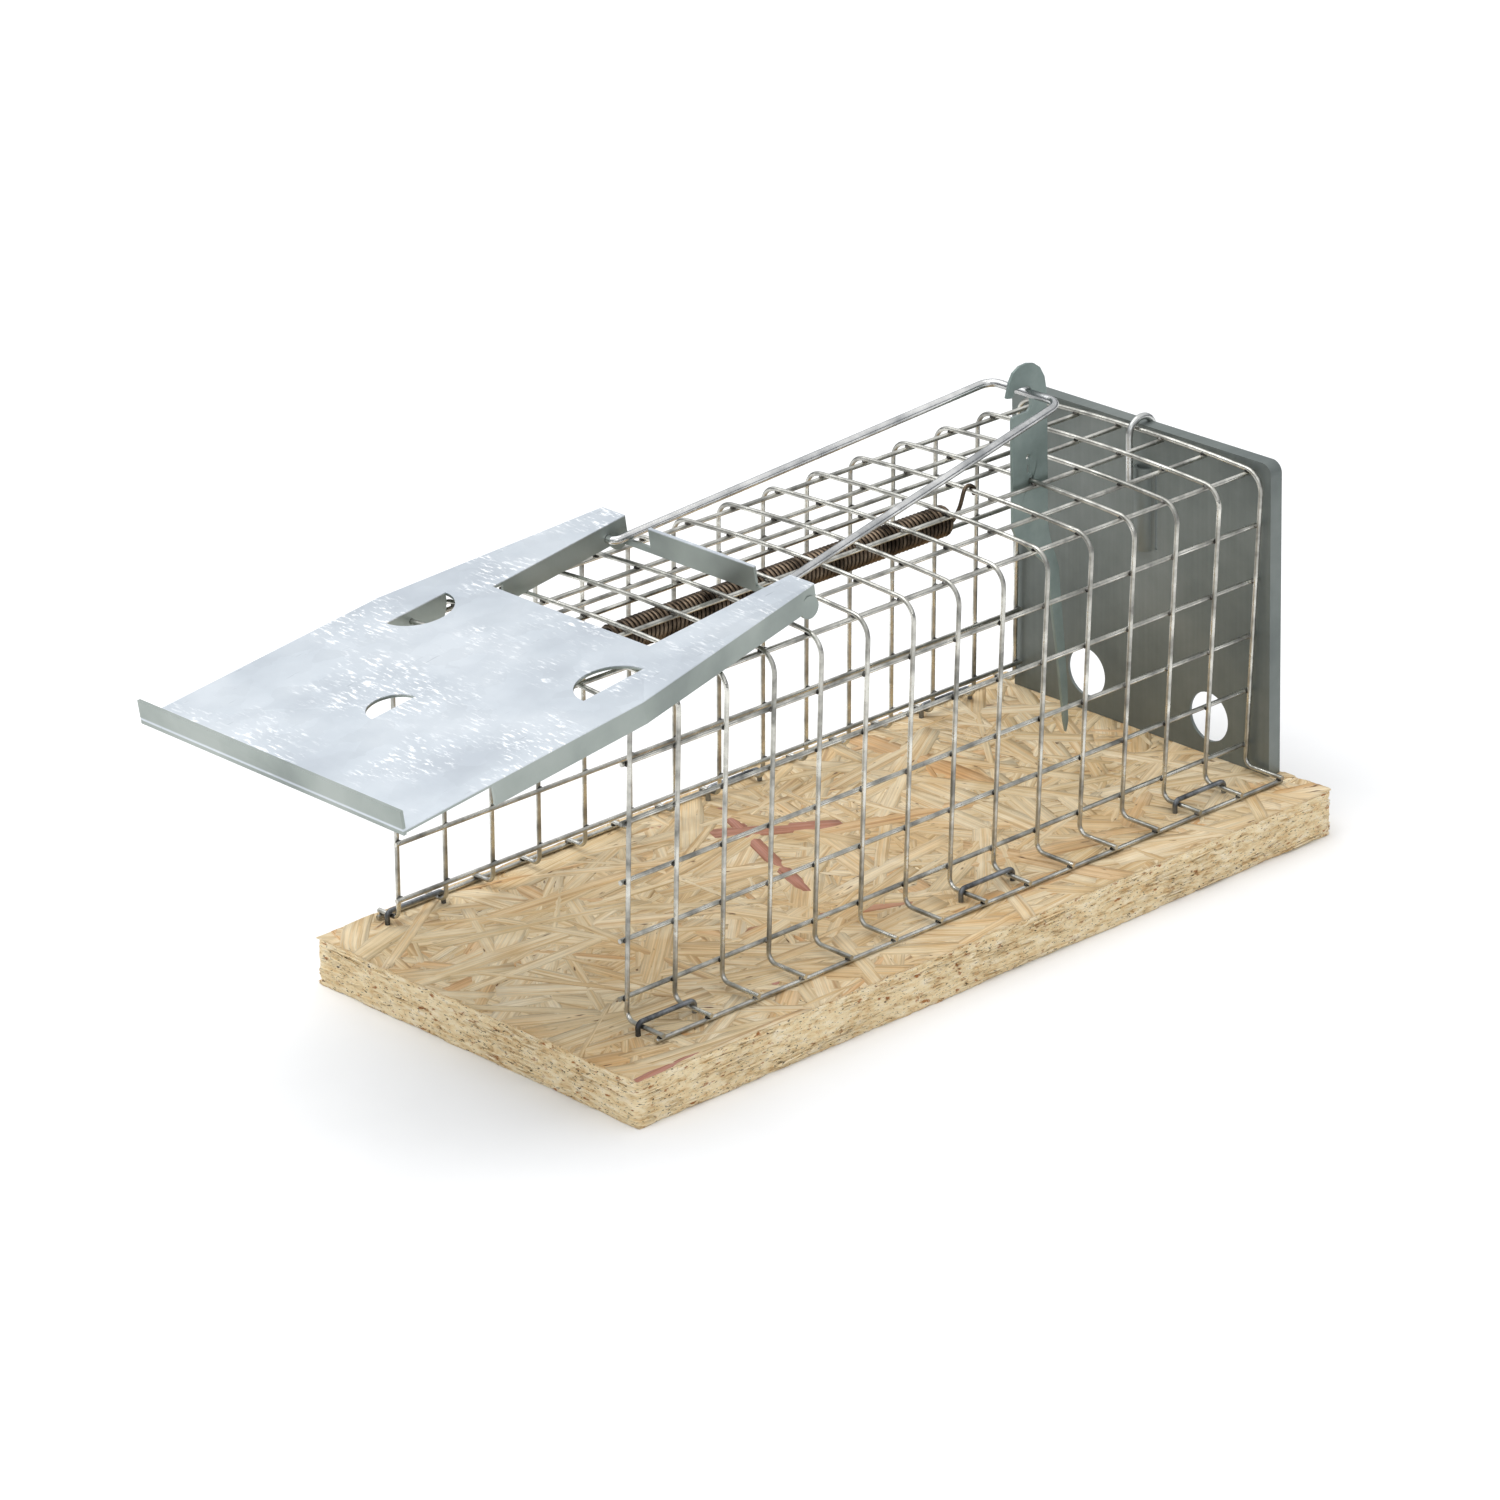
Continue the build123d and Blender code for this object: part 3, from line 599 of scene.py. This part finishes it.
def weathered_zinc_sheet(name, dark, middle, pale, roughness, blotch_mm):
    """Weathered galvanised sheet: broad soft clouds of bloom, faint rolling lines, dull sheen."""
    material, place = new_material(name)
    blotches = add_node(
        material, "TexNoise", {"Vector": place, "Scale": 1 / blotch_mm, "Detail": 7.0, "Roughness": 0.62}
    )
    metal = add_node(
        material, "ValToRGB", {"Fac": blotches.outputs[0]},
        stops=[(0.34, dark), (0.50, middle), (0.68, pale)],
    )
    line_place = add_node(material, "Mapping", {"Vector": place, "Scale": (1.1, 0.06, 0.03)})
    rolling = add_node(
        material, "TexNoise", {"Vector": line_place.outputs[0], "Scale": 1.0, "Detail": 3.0}
    )
    line_shade = add_node(
        material, "MapRange", {"Value": rolling.outputs[0], "From Min": 0.3, "From Max": 0.7,
                               "To Min": 0.95, "To Max": 1.04},
    )
    shaded = add_node(
        material, "VectorMath", {0: metal.outputs[0], 1: line_shade.outputs[0]}, operation="MULTIPLY"
    )
    satin = add_node(
        material, "MapRange", {"Value": blotches.outputs[0], "From Min": 0.3, "From Max": 0.7,
                               "To Min": roughness + 0.12, "To Max": roughness - 0.06},
    )
    bump = add_node(
        material, "Bump", {"Height": blotches.outputs[0], "Strength": 0.2, "Distance": 0.0002}
    )
    surface = add_node(
        material, "BsdfPrincipled",
        {"Base Color": shaded.outputs[0], "Metallic": BLOOMED_ZINC_METALLIC, "Roughness": satin.outputs[0],
         "Normal": bump.outputs[0]},
    )
    add_node(material, "OutputMaterial", {"Surface": surface.outputs[0]})
    return material


dress(["back_plate"], weathered_zinc_sheet("plate_sheet", "6d7472", "767d7a", "808683", 0.52, 30.0))
dress(["trigger_lever"], weathered_zinc_sheet("trigger_sheet", "75837f", "82908c", "919e9a", 0.46, 18.0))


def round_edges(name, radius):
    """Takes the sharp edges off a CAD node's sheet, as pressing and tumbling leave them."""
    join = nodes[name].modifiers.new("join_faces", "WELD")
    join.merge_threshold = SAME_POINT
    edge = nodes[name].modifiers.new("round_edges", "BEVEL")
    edge.width, edge.segments, edge.limit_method = radius * MM, 2, "ANGLE"
    edge.angle_limit = SHARP_FOLD
    edge.harden_normals = False


round_edges("back_plate", 0.16)
round_edges("trigger_lever", 0.12)

# ---- plate pin -------------------------------------------------------------------------------
# A pin of bright 1.5 mm wire, bent into a hook that holds the plate's top edge against the cage.
dress(["plate_pin"], drawn_steel_wire("pin_wire", "a3a5a3", "e2e3e0", 0.20, 9.0))

# ---- door ------------------------------------------------------------------------------------
# One blank of bright galvanised sheet, pressed with its lip, flanges, ears and spring tab. Its top
# is pale blue grey with faint spangle, rubbed whiter in patches and scratched along its length. Painted
# light makes the top face brighter, and painted shade makes the turned edges and underside darker.
DOOR_TILT = math.radians(7.54)
DOOR_UP = (0.0, -math.sin(DOOR_TILT), math.cos(DOOR_TILT))
FRONT_FOLD_FORWARD, FRONT_FOLD_HEIGHT = 144.8, 73.9
# Height of the top face measured square to the sheet.
DOOR_TOP = FRONT_FOLD_FORWARD * math.sin(DOOR_TILT) + FRONT_FOLD_HEIGHT * math.cos(DOOR_TILT)


def bright_zinc_sheet():
    """Bright galvanised sheet: spangle of crystal grains about 5 mm across, rubs and scratches, with
    painted light on the top face and painted shade on the rest.
    """
    material, place = new_material("door_sheet")
    warp = add_node(material, "TexNoise", {"Vector": place, "Scale": 0.25, "Detail": 3.0})
    bent = add_node(
        material, "VectorMath", {0: warp.outputs["Color"], 1: (4.0, 4.0, 4.0), 2: place},
        operation="MULTIPLY_ADD",
    )
    crystals = add_node(
        material, "TexVoronoi", {"Vector": bent.outputs[0], "Scale": 0.2, "Randomness": 1.0}
    )
    crystal_shade = add_node(
        material, "MapRange", {"Value": crystals.outputs["Color"], "To Min": 0.955, "To Max": 1.03}
    )
    clouds = add_node(material, "TexNoise", {"Vector": place, "Scale": 0.045, "Detail": 6.0})
    zinc = add_node(
        material, "ValToRGB", {"Fac": clouds.outputs[0]},
        stops=[(0.34, "bfc6cd"), (0.50, "cad1d7"), (0.66, "d5dbe0")],
    )
    spangled = add_node(
        material, "VectorMath", {0: zinc.outputs[0], 1: crystal_shade.outputs[0]}, operation="MULTIPLY"
    )
    # Rub marks are short grey white dashes, about 3 mm by 0.6 mm, bunched where hands have worn it.
    dash_place = add_node(
        material, "Mapping", {"Vector": place, "Rotation": (0, 0, 0.9), "Scale": (0.34, 1.5, 1.0)}
    )
    dashes = add_node(
        material, "TexNoise",
        {"Vector": dash_place.outputs[0], "Scale": 1.0, "Detail": 4.0, "Roughness": 0.65},
    )
    worn_places = add_node(material, "TexNoise", {"Vector": place, "Scale": 0.06, "Detail": 2.0})
    dash_mask = add_node(
        material, "MapRange", {"Value": dashes.outputs[0], "From Min": 0.54, "From Max": 0.64}
    )
    worn_mask = add_node(
        material, "MapRange", {"Value": worn_places.outputs[0], "From Min": 0.46, "From Max": 0.60}
    )
    # Painted light and shade: the upper face is painted bright, as it is lit from above, and the turned
    # edges and the underside are painted a darker grey green, as they are in shade.
    from_plane = add_node(
        material, "VectorMath", {0: place, 1: DOOR_UP}, operation="DOT_PRODUCT"
    ).outputs["Value"]
    below = add_node(
        material, "MapRange",
        {"Value": from_plane, "From Min": DOOR_TOP - 0.30, "From Max": DOOR_TOP - 0.12},
    )
    lip = add_node(
        material, "MapRange",
        {"Value": from_plane, "From Min": DOOR_TOP + 0.15, "From Max": DOOR_TOP + 0.40,
         "To Min": 1.0, "To Max": 0.0},
    )
    lit_top_mask = add_node(
        material, "Math", {0: below.outputs[0], 1: lip.outputs[0]}, operation="MULTIPLY"
    )
    # Painted shade: a darker grey green for the turned edges and underside, which face away from the light.
    shaded_side_colour = add_node(
        material, "ValToRGB", {"Fac": clouds.outputs[0]},
        stops=[(0.34, "8b938f"), (0.50, "9aa29d"), (0.66, "a9b0ab")],
    )
    # Painted light on the top face mixed over painted shade on the edges and underside.
    lit_top_shaded_sides = add_node(
        material, "Mix", {"Factor": lit_top_mask.outputs[0], "A": shaded_side_colour.outputs[0], "B": spangled.outputs[0]},
        data_type="RGBA",
    )
    worn_dashes = add_node(
        material, "Math", {0: dash_mask.outputs[0], 1: worn_mask.outputs[0]}, operation="MULTIPLY"
    )
    rub = add_node(
        material, "Math", {0: worn_dashes.outputs[0], 1: lit_top_mask.outputs[0]}, operation="MULTIPLY"
    )
    rubbed = add_node(
        material, "Mix", {"Factor": rub.outputs[0], "A": lit_top_shaded_sides.outputs["Result"], "B": linear("fbfcfd")},
        data_type="RGBA",
    )
    scratch_place = add_node(
        material, "Mapping", {"Vector": place, "Rotation": (0, 0, 0.12), "Scale": (1.3, 0.035, 1.0)}
    )
    scratches = add_node(
        material, "TexNoise", {"Vector": scratch_place.outputs[0], "Scale": 1.0, "Detail": 3.0}
    )
    scratch_mask = add_node(
        material, "MapRange", {"Value": scratches.outputs[0], "From Min": 0.70, "From Max": 0.76,
                               "To Max": 0.35},
    )
    scratched = add_node(
        material, "Mix",
        {"Factor": scratch_mask.outputs[0], "A": rubbed.outputs["Result"], "B": linear("8f979e")},
        data_type="RGBA",
    )
    satin = add_node(
        material, "MapRange", {"Value": rub.outputs[0], "To Min": 0.42, "To Max": 0.60}
    )
    bump = add_node(
        material, "Bump", {"Height": dashes.outputs[0], "Strength": 0.18, "Distance": 0.0001}
    )
    surface = add_node(
        material, "BsdfPrincipled",
        {"Base Color": scratched.outputs["Result"], "Metallic": 0.9, "Roughness": satin.outputs[0],
         "Normal": bump.outputs[0]},
    )
    add_node(material, "OutputMaterial", {"Surface": surface.outputs[0]})
    return material


dress(["door"], bright_zinc_sheet())
round_edges("door", 0.2)

# ---- bail ------------------------------------------------------------------------------------
# A closed loop of bright plated 1.8 mm wire, sprung into the door's arms and held by the trigger.
dress(["bail"], drawn_steel_wire("bail_wire", "a0a2a3", "e8e8e6", 0.12, 12.0))

# ---- closing spring --------------------------------------------------------------------------
# A long close-wound tension spring of blued spring wire under the cage roof, hooked over a top hoop
# at the rear and through the door's tab in front, where its end runs out as a long straight leg.
SPRING_WIRE = 0.9
COIL_RADIUS = 2.95            # to the middle of the wire
COIL_PITCH = 1.12
COIL_FRONT, COIL_REAR = -58.5, 35.0
STEPS_PER_TURN, WIRE_SIDES = 18, 7
spring_low, spring_high = [np.array(corner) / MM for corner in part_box("closing_spring")]
COIL_X = -2.2
COIL_Z = spring_low[2] + COIL_RADIUS + SPRING_WIRE / 2
TAB_Y = spring_low[1] + SPRING_WIRE / 2
ROOF_Z = spring_high[2] - SPRING_WIRE / 2
HOOK_REAR_Y = spring_high[1] - SPRING_WIRE / 2
FRONT_STEPS, REAR_STEPS = 14, 10


def smooth_line(points, steps):
    """A line through the points, each stretch a cubic whose slope at a point is that of its neighbours."""
    points = np.asarray(points, float)
    padded = np.concatenate([2 * points[:1] - points[1:2], points, 2 * points[-1:] - points[-2:-1]])
    t = (np.arange(steps) / steps)[None, :, None]
    p0, p1, p2, p3 = (padded[i:len(padded) - 3 + i, None, :] for i in range(4))
    curve = 0.5 * (
        2 * p1 + (p2 - p0) * t + (2 * p0 - 5 * p1 + 4 * p2 - p3) * t ** 2
        + (3 * p1 - p0 - 3 * p2 + p3) * t ** 3
    )
    return np.concatenate([curve.reshape(-1, 3), points[-1:]])


def wire_tube(name, line, side, radius, material):
    """A round section carried along the line; side is a direction across it at each point.

    The ends close to a point through two small rings.
    """
    ahead = np.gradient(line, axis=0)
    ahead /= np.linalg.norm(ahead, axis=1, keepdims=True)
    across = side - (side * ahead).sum(1, keepdims=True) * ahead
    across /= np.linalg.norm(across, axis=1, keepdims=True)
    up = np.cross(ahead, across)
    turn = np.arange(WIRE_SIDES) * 2 * math.pi / WIRE_SIDES
    size = np.full(len(line), radius)
    size[[0, -1]] = 0.0
    size[[1, -2]] = 0.8 * radius
    ring = np.cos(turn)[:, None] * across[:, None, :] + np.sin(turn)[:, None] * up[:, None, :]
    points = line[:, None, :] + size[:, None, None] * ring
    return make_piece(name, points, grid_quads(len(line), WIRE_SIDES, wrap=True), material)


def closing_spring(material):
    """Front hook and leg, a helix, then the raised rear hook, as one line of wire."""
    turns = round((COIL_REAR - COIL_FRONT) / COIL_PITCH)
    angle = np.linspace(0, 2 * math.pi * turns, turns * STEPS_PER_TURN) + math.pi
    helix_y = np.linspace(COIL_FRONT, COIL_REAR, len(angle))
    radial = np.stack([np.cos(angle), np.zeros_like(angle), np.sin(angle)], -1)
    middle = np.stack([np.full_like(angle, COIL_X), helix_y, np.full_like(angle, COIL_Z)], -1)
    helix = middle + COIL_RADIUS * radial
    front_z = spring_low[2] + 2.3
    front = smooth_line(
        [
            (-2.4, TAB_Y + 1.5, front_z - 0.3), (-0.8, TAB_Y + 0.7, front_z), (-1.2, TAB_Y + 0.05, front_z),
            (-2.6, TAB_Y + 0.1, front_z), (-3.8, TAB_Y + 1.6, front_z), (-4.3, TAB_Y + 7.0, front_z),
            (-4.9, TAB_Y + 30.0, front_z + 0.2), (-5.2, COIL_FRONT - 6.0, COIL_Z + 0.1),
            (-5.18, COIL_FRONT - 1.0, COIL_Z + 0.4), tuple(helix[0]),
        ],
        FRONT_STEPS,
    )[:-1]
    rear = smooth_line(
        [
            tuple(helix[-1]), (COIL_X - 2.2, COIL_REAR + 1.2, COIL_Z - 1.5),
            (COIL_X - 0.4, COIL_REAR + 2.6, COIL_Z - 1.2), (COIL_X, COIL_REAR + 4.6, COIL_Z + 1.4),
            (COIL_X, COIL_REAR + 6.2, ROOF_Z - 0.6), (COIL_X, HOOK_REAR_Y - 1.6, ROOF_Z),
            (COIL_X, HOOK_REAR_Y - 0.2, ROOF_Z - 1.0), (COIL_X, HOOK_REAR_Y - 0.5, ROOF_Z - 2.5),
        ],
        REAR_STEPS,
    )[1:]
    line = np.concatenate([front, helix, rear])
    front_side = np.broadcast_to(radial[0], front.shape) + [0, 0, 0.6]
    side = np.concatenate([front_side, radial, np.broadcast_to([1.0, 0, 0.05], rear.shape)])
    return wire_tube("spring_coil", line, side, SPRING_WIRE / 2, material)


spring = closing_spring(drawn_steel_wire("blued_spring_wire", "2b231c", "6f6152", 0.30, 5.0))
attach(spring, "spring")
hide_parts("closing_spring")
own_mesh(spring)

# ---- setting: floor, light and camera --------------------------------------------------------
# A white table under a large soft overhead light, with a camera looking down on the door corner.
FLOOR_SIZE = 8.0       # metres
TENT_STRENGTH = 1.05
LIGHT_AIM = (0, 0, 0.04)


def white_table():
    """Matt white table top with the faintest tooth."""
    material, place = new_material("white_table")
    tooth = add_node(material, "TexNoise", {"Vector": place, "Scale": 0.02, "Detail": 3.0})
    white = add_node(
        material, "ValToRGB", {"Fac": tooth.outputs[0]}, stops=[(0.3, "f6f6f6"), (0.7, "fafafa")]
    )
    surface = add_node(
        material, "BsdfPrincipled",
        {"Base Color": white.outputs[0], "Roughness": 0.9, "Specular IOR Level": 0.0},
    )
    add_node(material, "OutputMaterial", {"Surface": surface.outputs[0]})
    return material


span = FLOOR_SIZE / 2 / MM
floor_points = [(-span, -span, 0), (span, -span, 0), (span, span, 0), (-span, span, 0)]
floor = make_piece("floor", np.array(floor_points), np.array([[0, 1, 2, 3]]), white_table(), closed=False)

scene = bpy.context.scene
scene.view_settings.view_transform = "Standard"
scene.world = bpy.data.worlds.new("studio")


def studio_surround(world):
    """A light tent: bright overhead, dim towards the horizon, and plain white where it is seen."""
    world.use_nodes = True
    world.node_tree.nodes.clear()
    around = add_node(world, "TexCoord").outputs["Generated"]
    height = add_node(world, "SeparateXYZ", {"Vector": around}).outputs["Z"]
    tent = add_node(
        world, "ValToRGB", {"Fac": height},
        stops=[(0.00, "5c5f62"), (0.22, "73767a"), (0.42, "f2f4f8"), (1.00, "ffffff")],
    )
    seen = add_node(world, "LightPath").outputs["Is Camera Ray"]
    light = add_node(world, "Background", {"Color": tent.outputs[0], "Strength": TENT_STRENGTH})
    plain = add_node(world, "Background", {"Color": linear("ffffff"), "Strength": 1.0})
    both = add_node(world, "MixShader", {0: seen, 1: light.outputs[0], 2: plain.outputs[0]})
    add_node(world, "OutputWorld", {"Surface": both.outputs[0]})


studio_surround(scene.world)


def soft_light(name, place, aim, size, power):
    """A square soft box at a place, turned to face a point."""
    light = bpy.data.lights.new(name, "AREA")
    light.size, light.energy = size, power
    lamp = bpy.data.objects.new(name, light)
    place, aim = np.array(place), np.array(aim)
    back = (place - aim) / np.linalg.norm(place - aim)
    side = np.cross([0, 1, 0], back)
    side /= np.linalg.norm(side)
    turn = np.eye(4)
    turn[:3, 0], turn[:3, 1], turn[:3, 2], turn[:3, 3] = side, np.cross(back, side), back, place
    lamp.matrix_world = Matrix(turn.tolist())
    scene.collection.objects.link(lamp)


soft_light("overhead_box", (-0.35, -0.25, 1.1), LIGHT_AIM, 1.0, 7.0)
soft_light("front_box", (0.9, -0.9, 0.7), LIGHT_AIM, 0.7, 2.0)

CAMERA_AROUND, CAMERA_ABOVE = math.radians(47.645), math.radians(22.699)
CAMERA_ROLL = math.radians(-1.568)
CAMERA_DISTANCE, CAMERA_ASIDE, CAMERA_UP = 1.28939, -0.000898, 0.029232
AIM = np.array([0.0, -0.02186, 0.01037])
LENS_MM, SENSOR_MM = 150.47, 36.0
NEAREST, FARTHEST = 0.05, 30.0

camera_data = bpy.data.cameras.new("camera")
camera_data.lens, camera_data.sensor_width = LENS_MM, SENSOR_MM
camera_data.clip_start, camera_data.clip_end = NEAREST, FARTHEST
camera = bpy.data.objects.new("camera", camera_data)
back = np.array(
    [
        math.sin(CAMERA_AROUND) * math.cos(CAMERA_ABOVE),
        -math.cos(CAMERA_AROUND) * math.cos(CAMERA_ABOVE),
        math.sin(CAMERA_ABOVE),
    ]
)
right = np.array([math.cos(CAMERA_AROUND), math.sin(CAMERA_AROUND), 0.0])
up = np.cross(back, right)
stand = np.eye(4)
stand[:3, 0] = math.cos(CAMERA_ROLL) * right + math.sin(CAMERA_ROLL) * up
stand[:3, 1] = math.cos(CAMERA_ROLL) * up - math.sin(CAMERA_ROLL) * right
stand[:3, 2] = back
stand[:3, 3] = AIM + CAMERA_DISTANCE * back + CAMERA_ASIDE * right + CAMERA_UP * up
camera.matrix_world = Matrix(stand.tolist())
scene.collection.objects.link(camera)
scene.camera = camera
